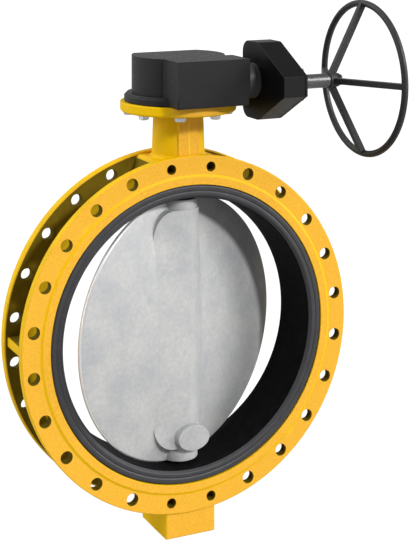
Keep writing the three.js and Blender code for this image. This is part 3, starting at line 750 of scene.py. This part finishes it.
def bottom_cover():
    """The plate over the lower stem bore, with its cap screws sunk into it."""
    seat = BOTTOM_COVER["seat"]
    spots = [(x, y, 0) for x, y in on_circle(BOTTOM_COVER["screw_circle"], around(4, math.pi / 4))]
    low, high = extent("bottom_cover")
    tools = [moved(rod(BOTTOM_COVER["screw_r"], low.z - OVER, high.z + OVER, 24), spot) for spot in spots]
    tools += [moved(rod(BOTTOM_COVER["head_r"], low.z - OVER, seat + FIT, 32), spot) for spot in spots]
    piece("bottom_cover_plate", cut(rod(high.x, low.z, high.z, edge=1), *tools), "bottom_cover")
    low, high = extent("cover_screw_1")
    head = cut(rod(7, low.z, seat, 32, 0.8), prism(hexagon(3), low.z - 1, low.z + 4))
    screw = joined(head, rod(4, seat - 1, high.z, 24, 0.6))
    for i, spot in enumerate(spots, 1):
        piece(f"cover_cap_screw_{i}", moved(screw.copy(), spot), f"cover_screw_{i}")


def hex_head(apothem, thick, washer=1.0):
    """Bolt head below z = 0: a chamfered hexagon on a thin washer face."""
    reach = apothem / math.cos(math.pi / 6) * 1.02
    profile = [(0, -thick), (apothem * 0.93, -thick), (reach, -thick * 0.78), (reach, 0), (0, 0)]
    head = combine("INTERSECT", turned(profile, 48), prism(hexagon(apothem), -thick - 1, -washer))
    return joined(head, rod(apothem * 0.97, -washer - 0.2, 0, 48))


def threaded(radius, low, high, pitch):
    """Rod with round grooves that read as a thread."""
    end_r = radius - 0.8
    profile = [(0, low), (end_r, low)]
    for i in range(int((high - low - 2) / pitch)):
        z = low + 1 + i * pitch
        profile += [(radius, z + pitch * 0.3), (radius, z + pitch * 0.45)]
        profile.append((radius - 0.6 * pitch, z + pitch * 0.9))
    return turned(profile + [(end_r, high), (0, high)], 32)


def top_flange_bolts():
    low, high = extent("flange_bolt_1")
    under = NECK["top"] - FIT
    bolt = joined(hex_head(12, under - low.z), rod(8, -0.5, high.z - under, 32, 0.8))
    for i, spot in enumerate(TOP_BOLT_SPOTS):
        turn = Matrix.Rotation(0.5 + 1.7 * i, 4, "Z")  # each was tightened to its own angle
        piece(f"flange_hex_bolt_{i + 1}", moved(bolt.copy(), turn, (*spot, under)), f"flange_bolt_{i + 1}")


bottom_cover()
top_flange_bolts()


# -------- disc and stems, drawn closed

OPEN = Matrix.Rotation(REST_OPEN, 4, "Z")
HUB_STEP = {"top": 306, "bottom": 294}  # distance from the pipe axis at which the cast hub ends
HUB_NECK_R = 49.5  # machined neck beyond it
HUB_BLEND = 16  # width over which the hub runs out into the dome
HUB_ROWS = 44
HUB_SINK = 0.35  # the run-out dips this far under the dome, so that it fades into it
STEP_SPREAD = {"top": 52, "side": 108, "drop": 74}
TURNED_WIDTH = 4.5


def dome(radius):
    """Half thickness of the domed disc."""
    return RIM_HALF + (LENS_HALF - RIM_HALF) * max(0.0, 1 - (radius / DISC_R) ** 2)


def flank(reach, z):
    """Straight flank that leaves the hub as a tangent and meets the dome at the side of the hub's outline."""
    side = STEP_SPREAD["side"]
    foot = dome(math.hypot(side, min(abs(z), HUB_STEP["top"] - STEP_SPREAD["drop"])))
    away = math.hypot(side, foot)
    tilt = math.atan2(foot, side) + math.acos(HUB_R / away)
    touch = HUB_R * math.cos(tilt)
    if reach < touch:
        return 0
    height = HUB_R * math.sin(tilt)
    return height + (foot - height) * (reach - touch) / (side - touch)


def hub_surface(x, z, side):
    """Half thickness of the dome with the hub blended in, steep on one flank and gentle on the other."""
    shell = dome(math.hypot(x, z))
    hub = math.sqrt(max(0.0, HUB_R**2 - x * x))
    gap = max(HUB_BLEND - abs(shell - hub), 0) / HUB_BLEND
    steep = max(shell, hub) + gap * gap * HUB_BLEND / 4 * min(1, hub / 20 + 0.25)
    return max(steep, flank(x * side, z))


def hub_corner(end):
    """One end of the hub's outline, from the stem axis round its swept corner and down to the middle."""
    top, side = STEP_SPREAD["top"], STEP_SPREAD["side"]
    shoulder = end - STEP_SPREAD["drop"]
    corner = [(top * k / 8, end) for k in range(8)]
    for down, out in on_circle(1, [k / 24 * math.pi / 2 for k in range(25)]):
        corner.append((top + (side - top) * out, shoulder + (end - shoulder) * down))
    return corner + [(side, shoulder * (1 - k / 20)) for k in range(1, 20)]


def hub_outline():
    """Outline of the cast hub in front view: flat ends whose corners sweep down into the dome."""
    side = STEP_SPREAD["side"]
    upper, lower = hub_corner(HUB_STEP["top"]), hub_corner(HUB_STEP["bottom"])
    right = upper + [(side, 0)] + [(x, -z) for x, z in reversed(lower[1:])]
    left = [(0, -HUB_STEP["bottom"])] + [(-x, -z) for x, z in lower[1:]] + [(-side, 0)]
    return right + left + [(-x, z) for x, z in reversed(upper[1:])]


def hub_casting():
    """The raised hub on both faces, as a solid whose edge stands on its outline."""
    outline = hub_outline()
    shares = [row / HUB_ROWS for row in range(HUB_ROWS + 1)]
    points = []
    for side, share in [(-1, s) for s in shares] + [(1, s) for s in reversed(shares)]:
        for x, z in outline:
            px, pz = x * share, z * share
            points.append((px, side * (hub_surface(px, pz, side) - HUB_SINK), pz))
    return mesh_from(points, woven(2 * len(shares), len(outline)))


def dome_casting():
    """The domed disc with its turned rim, chamfered towards both faces."""
    inner = DISC_R - TURNED_WIDTH
    front = [(inner * k / 36, dome(inner * k / 36)) for k in range(37)]
    front += [(inner + 1.5, dome(inner) - 0.6), (DISC_R - 0.8, RIM_HALF - 2), (DISC_R, RIM_HALF - 3.5)]
    return along_y(turned(front + [(r, -y) for r, y in reversed(front)], 256))


def boss_casting():
    """Oval boss over the trunnion pin, faced off parallel to the flange at the rest angle."""
    steps = 96
    slope = math.tan(REST_OPEN)
    points = []
    for grow, drop in ((0, None), (0, 1.6), (-0.5, 0.6), (-1.6, 0)):
        for across, up in on_circle(1, around(steps)):
            x = BOSS["x"] + (BOSS["wide"] + grow) * across
            y = -BOSS["root"] if drop is None else drop - BOSS["reach"] - slope * x
            points.append((x, y, BOSS["z"] + (BOSS["high"] + grow) * up))
    caps = [list(range(steps)), list(range(3 * steps, 4 * steps))]
    return mesh_from(points, caps + woven(4, steps))


def pin_bore(start):
    return moved(along_y(rod(PIN_BORE_R, start, 80, 48)), (0, 0, BOSS["z"]))


def disc():
    end = DISC_R - 5.5
    necks = [rod(HUB_NECK_R, *height, edge=2.5) for height in ((-end, -150), (150, end))]
    whole = joined(dome_casting(), hub_casting(), *necks, boss_casting())
    heights = ((STEM_LOW.z - 4, 400), (-400, TRUNNION_HIGH.z + 4))
    bores = [rod(STEM_R + 0.4, *height, 64) for height in heights]
    return cut(whole, together(*bores), pin_bore(-47))


def turned_zone(_, spot):
    """1 on the turned rim of the disc."""
    return int(spot.length > DISC_R - 2 and math.hypot(spot.x, spot.y) > HUB_R + 20)


disc_piece = piece("disc_casting", disc(), "disc", place=OPEN, sharp=40)
refinish(disc_piece, [TURNED_RIM], turned_zone)
key_places = [extent(key) for key in ("disc_key", "wheel_key")]
key_seats = [block((22.7, 40), span(9.3), (low.z - FIT, high.z + FIT)) for low, high in key_places]
for stem, tool in {"upper_stem": together(*key_seats), "trunnion": pin_bore(-80)}.items():
    low, high = extent(stem)
    piece(f"{stem}_shaft", cut(rod(STEM_R, low.z, high.z, edge=1.5), tool), stem, place=OPEN)


# -------- worm gearbox

HOUSING = {"r": 119.5, "rear": HOUSING_HIGH.y, "low": 600.3, "high": HOUSING_HIGH.z}
CHAMBER = {"r": 104, "rear": 70, "low": 590, "top": 676}
BUSH_SEAT = (670, 684.5)
WORM_BOX = {"left": -79, "right": HOUSING_HIGH.x, "front": HOUSING_LOW.y, "back": -70}
WORM_BORE_R = 33
BUSH_R = 57
STOP_HOLE_R = 6.6
AXLE_Z = WORM_AXIS.z
AT_INPUT = (0, WHEEL_AXIS.y, AXLE_Z)


def gearbox_base():
    """Mounting ring of the gearbox, with a chamfered upper shoulder."""
    low, high = BASE_LOW.z, BASE_HIGH.z
    outer = BASE_HIGH.y
    profile = [
        (BUSH_R, low),
        (outer, low, 1.5),
        (outer, high - 6, 1.5),
        (outer - 5, high - 4, 1),
        (outer - 5, high, 2),
        (BUSH_R, high),
    ]
    holes = [moved(rod(8.8, low - OVER, 596, 24), (*spot, 0)) for spot in TOP_BOLT_SPOTS]
    return cut(turned(rounded(profile), ROUND_STEPS * 2), together(*holes))


def arc(radius, first, last, steps):
    return on_circle(radius, [first + (last - first) * i / steps for i in range(steps + 1)])


def housing_outline():
    """The drum and the worm box in plan, with the cast corners between them filled out."""
    r = HOUSING["r"]
    left, right, front, back = WORM_BOX.values()
    rear_angle = math.asin(HOUSING["rear"] / r)
    first = math.asin(back / r) + 0.05
    last = math.pi + math.acos(-left / r) - 0.06
    outline = arc(r, first, rear_angle, 60) + arc(r, math.pi - rear_angle, last, 60)
    outline += [(left, r * math.sin(last) - 2, 9), (left, front), (right, front), (right, back)]
    outline += [(r * math.cos(first) + 2, back, 3)]
    return rounded(outline)


def gearbox_housing():
    """Drum and worm box, hollow, with the seats of their bushes, worm and stop screws."""
    left, right, front, back = WORM_BOX.values()
    upper = prism(housing_outline(), HOUSING["low"], HOUSING["high"])
    lower = block((left, right), (front, back), (HOUSING_LOW.z, 640))
    shell = joined(*[eased(part, 5, 4, 50) for part in (upper, lower)])
    base_seat = rod(BASE_HIGH.y + 1.5, 560, HOUSING["low"], ROUND_STEPS * 2)
    rear_angle = math.asin(CHAMBER["rear"] / CHAMBER["r"])
    drum = arc(CHAMBER["r"], rear_angle, -math.pi - rear_angle, 120)
    chamber = prism(drum, CHAMBER["low"], CHAMBER["top"])
    bush_seat = rod(BUSH_R, *BUSH_SEAT)
    worm_bore = at_worm(rod(WORM_BORE_R, -70, 130))
    stop_holes = []
    for stop in ("closed_stop_screw", "open_stop_screw"):
        low, high = extent(stop)
        stop_holes.append(moved(along_y(rod(STOP_HOLE_R, 50, 100, 24)), ((low.x + high.x) / 2, 0, AXLE_Z)))
    return cut(shell, base_seat, chamber, bush_seat, worm_bore, together(*stop_holes))


def at_worm(mesh):
    return moved(along_x(mesh), (0, WORM_AXIS.y, AXLE_Z))


def at_input(mesh):
    return moved(along_x(mesh), AT_INPUT)


def stop_screws():
    for side in ("closed", "open"):
        low, high = extent(f"{side}_stop_screw")
        centre = ((low.x + high.x) / 2, 0, AXLE_Z)
        screw = along_y(threaded(6, low.y, high.y, 1.75))
        piece(f"{side}_stop_stud", moved(screw, centre), f"{side}_stop_screw")
        low, high = extent(f"{side}_stop_nut")
        nut = cut(eased(prism(hexagon(9.5), low.y, high.y), 0.8), rod(6.5, low.y - 2, high.y + 2, 32))
        piece(f"{side}_stop_lock_nut", moved(along_y(nut), centre), f"{side}_stop_nut")


piece("gearbox_base_ring", gearbox_base(), "gearbox_base")
piece("gearbox_shell", gearbox_housing(), "gearbox_housing")
stop_screws()
sleeve = tube(26, SLEEVE_HIGH.y - WORM_AXIS.y, SLEEVE_LOW.x, SLEEVE_HIGH.x, 0.6, 128)
piece("input_sleeve_tube", at_worm(sleeve), "input_sleeve", SLEEVE_SHEEN_BLACK)


# -------- spur-gear case

CASE_OUTLINE = {"shoulder": -144, "low": 25, "corner": 30, "inset": 3, "soft": 24}
CASE_WALL = 12
CASE_FAR_WALL = 6.5
CASE_BACK = 9
CASE_EDGE = (1.6, 3, 50)
INNER_BEARING = {"seat_r": 24.5, "boss_r": 30, "start": 159, "end": 168}
OUTER_BEARING = {"seat_r": 27.5, "boss_r": 34, "end": 218}
SEAL_SEAT = {"r": 26.5, "start": 210}
WORM_HOLE_R = 24
CASE_SCREWS = [(-74, 84), (-74, -84), (-250, 34.5), (-250, -34.5)]


def case_outline(margin=0.0, far_margin=0.0):
    """Outline of the case in (y, height above the axles), drawn in by a margin."""
    far = CASE_HIGH.y - far_margin
    near = CASE_LOW.y + CASE_OUTLINE["inset"]
    high = CASE_HIGH.z - AXLE_Z
    shoulder, low = CASE_OUTLINE["shoulder"], CASE_OUTLINE["low"]
    slope = math.atan2(high - low, shoulder - near)
    shoulder += margin * math.tan(slope / 2)
    low -= margin * math.tan((math.pi / 2 - slope) / 2)
    soft, corner = CASE_OUTLINE["soft"] - margin, CASE_OUTLINE["corner"] - margin
    upper = [(far, high - margin, corner), (shoulder, high - margin, soft), (near + margin, low, 2)]
    return rounded([(y, -z, radius) for y, z, radius in reversed(upper)] + upper, 8)


def standing(mesh):
    """Turns an outline drawn in (y, height) and extruded along x so that it stands at the axles."""
    return moved(mesh, quarter("X"), quarter("Z"), (0, 0, AXLE_Z))


def case_screw_holes(radius, low, high):
    return [moved(along_x(rod(radius, low, high, 24)), (0, y, AXLE_Z + up)) for y, up in CASE_SCREWS]


def gear_case():
    """Open case with a boss for the input shaft's inner bearing."""
    back, front = CASE_LOW.x, CASE_HIGH.x
    outside = standing(eased(prism(case_outline(), back, front), *CASE_EDGE))
    inside = standing(prism(case_outline(CASE_WALL, CASE_FAR_WALL), back + CASE_BACK, front + 10))
    boss = rod(INNER_BEARING["boss_r"], back + OVER, INNER_BEARING["end"])
    seat = rod(INNER_BEARING["seat_r"], INNER_BEARING["start"], INNER_BEARING["end"] + 12)
    shell = joined(cut(outside, inside), at_input(boss))
    worm_hole = at_worm(rod(WORM_HOLE_R, back - 10, 180))
    return cut(shell, together(worm_hole, *case_screw_holes(3.4, 190, 220)), at_input(seat))


def gear_case_cover():
    """Flat cover with the seats of the outer bearing and the seal."""
    low, high = COVER_LOW.x, COVER_HIGH.x
    plate = standing(eased(prism(case_outline(), CASE_HIGH.x + FIT, high), *CASE_EDGE))
    whole = joined(plate, at_input(rod(OUTER_BEARING["boss_r"], low, high - 1)))
    bearing_seat = rod(OUTER_BEARING["seat_r"], low - OVER, OUTER_BEARING["end"])
    seal_seat = rod(SEAL_SEAT["r"], SEAL_SEAT["start"], high + OVER)
    bores = [at_input(bearing_seat), at_input(seal_seat)]
    return cut(whole, *bores, together(*case_screw_holes(3.6, 205, 230)))


def case_screws():
    seat = COVER_HIGH.x + FIT
    low, high = extent("case_screw_1")
    head = moved(hex_head(4.85, high.x - seat, 0.6), quarter("X", 2), (0, 0, seat))
    screw = along_x(joined(head, rod(3, low.x, seat + 0.5, 24, 0.4)))
    for i, (y, up) in enumerate(CASE_SCREWS, 1):
        piece(f"case_hex_screw_{i}", moved(screw.copy(), (0, y, AXLE_Z + up)), f"case_screw_{i}")


piece("gear_case_shell", gear_case(), "gear_case", GLOSS)
piece("gear_case_lid", gear_case_cover(), "gear_case_cover", GLOSS)
case_screws()
seal_low, seal_high = extent("input_seal")
seal = tube(15.4, seal_high.z - AXLE_Z, seal_low.x, seal_high.x, 1.2)
piece("input_shaft_seal", at_input(seal), "input_seal")


# -------- input shaft and handwheel

WHEEL_HUB = {"low": 322.3, "high": 342, "r": 21}
WHEEL_SEAT_R = 14  # the shaft where it carries the handwheel and its nut
KEY_HALF = 4.3
RING_TUBE = 8.5
RING_R = (RIM_HIGH.z - RIM_LOW.z) / 2 - RING_TUBE
RING_X = RIM_HIGH.x - RING_TUBE
SPOKE = {"width": 15, "thick": 16, "count": 4}


def input_shaft():
    """Stepped shaft with its keyways, from (radius, start, end) steps."""
    shoulder = WHEEL_HUB["low"] - FIT
    steps = [(12, SHAFT_LOW.x, 169), (15, 169, 224.6), (18, 224.6, shoulder)]
    steps.append((WHEEL_SEAT_R, shoulder, SHAFT_HIGH.x))
    profile = [(0, SHAFT_LOW.x)]
    for radius, low, high in steps:
        profile += [(radius, low, 0.8), (radius, high, 0.8)]
    profile.append((0, SHAFT_HIGH.x))
    seats = []
    for low, high in (extent("pinion_key"), extent("handwheel_key")):
        seats.append(block((low.x - FIT, high.x + FIT), span(KEY_HALF), (low.z - AXLE_Z - FIT, 30)))
    return moved(cut(along_x(turned(rounded(profile))), *seats), AT_INPUT)


def ring_tube():
    """The handwheel's rim."""
    circle = [(RING_R + out, RING_X + up) for out, up in on_circle(RING_TUBE, around(28))]
    return along_x(turned(circle, 192))


def spoke(angle):
    """Flat bar from the hub to the rim."""
    start = Vector((WHEEL_HUB["low"] + 10, 12))
    run = Vector((RING_X + 1, RING_R + 3)) - start
    bar = eased(block(span(SPOKE["thick"] / 2), span(SPOKE["width"] / 2), (0, run.length)), 1.2)
    lean = Matrix.Rotation(math.atan2(run.x, run.y), 4, "Y")
    return moved(bar, lean, (start.x, 0, start.y), Matrix.Rotation(angle, 4, "X"))


def handwheel():
    low, high = WHEEL_HUB["low"], WHEEL_HUB["high"]
    hub = along_x(rod(WHEEL_HUB["r"], low, high, edge=1.5))
    whole = joined(ring_tube(), hub, *[spoke(angle) for angle in around(SPOKE["count"])])
    key_top = extent("handwheel_key")[1].z - AXLE_Z + FIT
    keyway = block((low - OVER, high + OVER), span(KEY_HALF), (5, key_top))
    return moved(cut(whole, along_x(rod(WHEEL_SEAT_R + 0.4, 300, 380)), keyway), AT_INPUT)


def handwheel_nut():
    low, high = extent("handwheel_nut")
    nut = eased(prism(hexagon(15.15), low.x, high.x), 1.4)
    return at_input(cut(nut, rod(WHEEL_SEAT_R + 0.4, low.x - OVER, high.x + OVER, 64)))


piece("input_shaft_turned", input_shaft(), "input_shaft")
piece("handwheel_welded", handwheel(), "handwheel", WHEEL_BLACK)
piece("handwheel_lock_nut", handwheel_nut(), "handwheel_nut", SLOT_FINISH["black_paint"])


# -------- hidden pieces keep their CAD shape

for node, shape in frame["nodes"].items():
    if not shape.hide_render:
        shape.data.materials.clear()
        shape.data.materials.append(SLOT_FINISH[SLOTS[node]])


# -------- floor, light and camera

CAMERA_PLACE = (-1.5456, -3.3414, 1.1009 + AXIS.z * MM)
CAMERA_TURN = -25.33
LENS = 95.56
SHIFT = (0.0252, -0.6925)  # a level camera with a shifted lens keeps the upright lines upright
SUNS = {  # azimuth and height in degrees, strength, width in degrees
    "key": (17, 31, 2.35, 8),
    "fill": (60, 20, 2.3, 34),
    "rim": (-110, 32, 3.1, 90),
}
FLOOR = {"half": 40, "drop": 0.0008, "seen": 0.97, "lit": 0.4, "shadowed": 0.1}
SKY = {"From Min": -0.6, "From Max": 1, "To Min": 0.02, "To Max": 0.7}  # brightness from behind to ahead
SKY_CENTRE = (-0.1, 0.9, 0.4)
NEAR = 0.006  # a lens shift holds this close to the camera's own place


def split_for_camera(tree, output, lit, seen):
    """Ends a node tree in one shader that lights the object and another that the camera sees."""
    pick = new_node(tree, "MixShader")
    sources = (new_node(tree, "LightPath").outputs["Is Camera Ray"], lit.outputs[0], seen.outputs[0])
    for source, target in zip(sources, pick.inputs):
        tree.links.new(source, target)
    tree.links.new(pick.outputs[0], new_node(tree, output).inputs["Surface"])


def floor_paint():
    material = bpy.data.materials.new("floor_paint")
    material.use_nodes = True
    tree = material.node_tree
    tree.nodes.clear()
    glow = new_node(tree, "Emission")
    set_inputs(glow, {"Strength": FLOOR["seen"]})
    matte, shadowed = (new_node(tree, "BsdfDiffuse") for _ in range(2))
    set_inputs(matte, {"Color": (*[FLOOR["lit"]] * 3, 1)})
    set_inputs(shadowed, {"Color": (*[FLOOR["shadowed"]] * 3, 1)})
    seen = new_node(tree, "AddShader")
    for shader, target in zip((glow, shadowed), seen.inputs):
        tree.links.new(shader.outputs[0], target)
    split_for_camera(tree, "OutputMaterial", matte, seen)
    return material


def floor():
    a, b = span(FLOOR["half"])
    mesh = bpy.data.meshes.new("floor")
    mesh.from_pydata([(a, a, 0), (b, a, 0), (b, b, 0), (a, b, 0)], [], [(0, 1, 2, 3)])
    mesh.materials.append(floor_paint())
    shape = placed("floor", mesh)
    shape.location.z = -FLOOR["drop"]


def sky():
    """Soft studio surroundings: white to the camera, bright ahead and above, dim behind and below."""
    world = bpy.data.worlds.new("studio")
    bpy.context.scene.world = world
    world.use_nodes = True
    tree = world.node_tree
    tree.nodes.clear()
    toward = new_node(tree, "VectorMath", operation="DOT_PRODUCT")
    toward.inputs[1].default_value = Vector(SKY_CENTRE).normalized()
    tree.links.new(new_node(tree, "TexCoord").outputs["Generated"], toward.inputs[0])
    glow = new_node(tree, "MapRange")
    set_inputs(glow, SKY)
    tree.links.new(toward.outputs["Value"], glow.inputs["Value"])
    lit, seen = (new_node(tree, "Background") for _ in range(2))
    tree.links.new(glow.outputs["Result"], lit.inputs["Strength"])
    set_inputs(seen, {"Color": (1, 1, 1, 1)})
    split_for_camera(tree, "OutputWorld", lit, seen)


def sun(name, turn, height, strength, width):
    light = bpy.data.lights.new(name, "SUN")
    light.energy = strength
    light.angle = math.radians(width)
    turn, height = math.radians(turn), math.radians(height)
    back = Vector((math.sin(turn) * math.cos(height), -math.cos(turn) * math.cos(height), math.sin(height)))
    placed(name, light).rotation_euler = (-back).to_track_quat("-Z", "Y").to_euler()


def shifted_only_here(camera, channel, amount):
    """Drives a lens shift that holds while the camera stands at its own place and is 0 elsewhere."""
    curve = camera.data.driver_add(channel)
    curve.driver.type = "AVERAGE"
    variable = curve.driver.variables.new()
    variable.type = "TRANSFORMS"
    variable.targets[0].id = camera
    variable.targets[0].transform_type = "LOC_X"
    curve.modifiers.remove(curve.modifiers[0])  # the straight line that a new driver starts with
    for away, value in ((-3 * NEAR, 0), (-NEAR, amount), (NEAR, amount), (3 * NEAR, 0)):
        curve.keyframe_points.insert(camera.location.x + away, value).interpolation = "LINEAR"


def camera():
    data = bpy.data.cameras.new("camera")
    data.lens = LENS
    shape = placed("camera", data)
    shape.location = CAMERA_PLACE
    shape.rotation_euler = (math.pi / 2, 0, math.radians(CAMERA_TURN))
    bpy.context.scene.camera = shape
    for channel, amount in zip(("shift_x", "shift_y"), SHIFT):
        shifted_only_here(shape, channel, amount)


floor()
sky()
for name, settings in SUNS.items():
    sun(name, *settings)
camera()
bpy.context.scene.view_settings.view_transform = "Standard"
